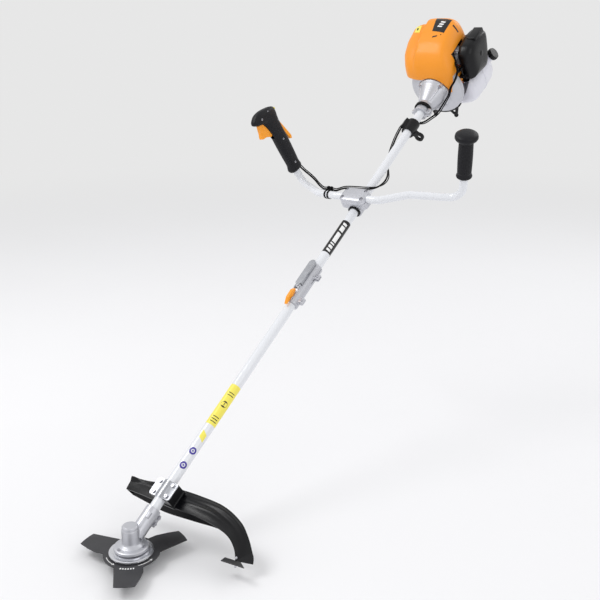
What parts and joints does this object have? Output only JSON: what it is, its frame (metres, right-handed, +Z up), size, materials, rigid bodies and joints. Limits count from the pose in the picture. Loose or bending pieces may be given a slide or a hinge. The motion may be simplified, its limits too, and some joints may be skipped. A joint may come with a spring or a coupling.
{
  "type": "petrol brush cutter",
  "caption": "Petrol brush cutter with a bevel gear head, metal blade and guard, split shaft, bull handlebar, harness eye and two stroke engine.",
  "frame": {"origin": "centre of the harness eye, where the machine hangs in use", "axes": "+Z up, +Y from the blade towards the engine, +X towards the plain grip's side; the shaft rises 35 degrees towards +Y"},
  "size_m": [0.6655, 1.6572, 1.1881],
  "materials": {
    "cast_alloy": "satin cast",
    "screw_steel": "zinc plated",
    "steel": "ground",
    "gear_steel": "oiled",
    "bright_steel": "turned",
    "blade_steel": "satin dark",
    "dark_steel": "satin",
    "white_tube": "gloss",
    "pressed_alloy": "satin",
    "orange_control": "semi gloss",
    "orange_cover": "gloss",
    "yellow_switch": "satin",
    "black_plastic": "fine grain",
    "black_rubber": "matt",
    "grip_rubber": "matt",
    "cable_black": "satin",
    "exhaust_steel": "heat dulled",
    "bulb_rubber": "translucent",
    "pulley_plastic": "satin",
    "tank_plastic": "translucent"
  },
  "bodies": {
    "machine": {"gear_case": "cast_alloy", "screws": "screw_steel", "bearings": "steel", "guard_bracket": "cast_alloy", "blade_guard": "black_plastic", "line_cutter": "dark_steel", "lower_tube": "white_tube", "upper_tube": "white_tube", "coupling_sleeve": "cast_alloy", "pivot_pins": "steel", "clamp_base": "cast_alloy", "clamp_cap": "cast_alloy", "rubber_rings": "black_rubber", "handlebar": "white_tube", "plain_grip": "grip_rubber", "grip_shell_outer": "black_plastic", "grip_shell_inner": "black_plastic", "throttle_cable": "cable_black", "stop_lead": "cable_black", "cable_clips": "cable_black", "harness_clamp": "black_plastic", "tube_collar": "cast_alloy", "clutch_housing": "cast_alloy", "clutch_shoes": "gear_steel", "fan_housing": "cast_alloy", "flywheel": "cast_alloy", "crankcase": "cast_alloy", "crankshaft": "steel", "connecting_rod": "steel", "piston": "cast_alloy", "cylinder": "cast_alloy", "spark_plug": "cable_black", "muffler": "exhaust_steel", "engine_cover": "orange_cover", "carburettor": "cast_alloy", "air_filter_base": "black_plastic", "air_filter_cover": "black_plastic", "starter_housing": "black_plastic", "fuel_tank": "tank_plastic", "engine_stand": "black_plastic"},
    "cutter": {"cutter_spindle": "steel", "driven_gear": "gear_steel", "blade_holder": "bright_steel", "cutter_blade": "blade_steel", "glide_cup": "bright_steel", "blade_nut": "screw_steel"},
    "drive": {"drive_pinion": "gear_steel", "lower_drive_shaft": "steel", "upper_drive_shaft": "steel", "clutch_drum": "steel"},
    "trigger": {"throttle_trigger": "orange_control"},
    "lock_off": {"lock_off_lever": "orange_control"},
    "switch": {"stop_switch": "yellow_switch"},
    "split_lever": {"coupling_lever": "pressed_alloy"},
    "split_catch": {"coupling_catch": "orange_control"},
    "choke": {"choke_lever": "black_plastic"},
    "primer": {"primer_bulb": "bulb_rubber"},
    "cap": {"fuel_cap": "black_plastic"},
    "pulley": {"starter_pulley": "pulley_plastic"},
    "pull_handle": {"starter_handle": "grip_rubber"}
  },
  "joints": [
    {"name": "blade_spin", "type": "hinge", "parent": "machine", "child": "cutter", "pos_m": [-0.024, -1.18335, -0.79441], "axis": [0, 0, 1], "continuous": true},
    {"name": "drive_spin", "type": "hinge", "parent": "machine", "child": "drive", "pos_m": [-0.024, -1.18335, -0.79441], "axis": [0, 0.8192, 0.5736], "continuous": true},
    {"name": "trigger", "type": "hinge", "parent": "machine", "child": "trigger", "pos_m": [-0.32282, -0.33998, 0.0637], "axis": [0.9851, -0.0986, 0.1407], "range_deg": [0, 14], "stiffness_Nm_per_rad": 0.6, "springref_deg": -17.19},
    {"name": "lock_off", "type": "hinge", "parent": "machine", "child": "lock_off", "pos_m": [-0.31702, -0.29703, 0.05318], "axis": [-0.9851, 0.0986, -0.1407], "range_deg": [0, 9], "stiffness_Nm_per_rad": 0.8, "springref_deg": -11.46},
    {"name": "stop_switch", "type": "slide", "parent": "machine", "child": "switch", "axis": [-0.1706, -0.4622, 0.8702], "range_m": [0, 0.004]},
    {"name": "coupling_lever", "type": "hinge", "parent": "machine", "child": "split_lever", "pos_m": [-0.024, -0.57395, -0.34145], "axis": [1, 0, 0], "range_deg": [0, 110]},
    {"name": "coupling_catch", "type": "hinge", "parent": "machine", "child": "split_catch", "pos_m": [-0.024, -0.60398, -0.36481], "axis": [1, 0, 0], "range_deg": [0, 6], "stiffness_Nm_per_rad": 1, "springref_deg": -11.46},
    {"name": "choke", "type": "hinge", "parent": "machine", "child": "choke", "pos_m": [0.054, 0.14858, 0.18705], "axis": [0, 0.5736, -0.8192], "range_deg": [0, 30]},
    {"name": "primer", "type": "slide", "parent": "machine", "child": "primer", "axis": [0, -0.5736, 0.8192], "range_m": [0, 0.0035], "stiffness_N_per_m": 600},
    {"name": "fuel_cap", "type": "hinge", "parent": "machine", "child": "cap", "pos_m": [0.066, 0.29587, 0.22426], "axis": [0.8296, -0.1275, 0.5437], "range_deg": [0, 270]},
    {"name": "starter_pull", "type": "slide", "parent": "machine", "child": "pull_handle", "axis": [-0.8192, -0.329, 0.4698], "range_m": [0, 0.5], "stiffness_N_per_m": 40, "springref_m": -0.2},
    {"name": "starter_pulley", "type": "hinge", "parent": "machine", "child": "pulley", "pos_m": [-0.024, 0.27351, 0.2257], "axis": [0, 0.8192, 0.5736], "range_deg": [0, 1080]}
  ],
  "couplings": [
    {"joint": "drive_spin", "follows": "blade_spin", "ratio": -1.3571},
    {"joint": "starter_pulley", "follows": "starter_pull", "rad_per_m": 37.037}
  ]
}
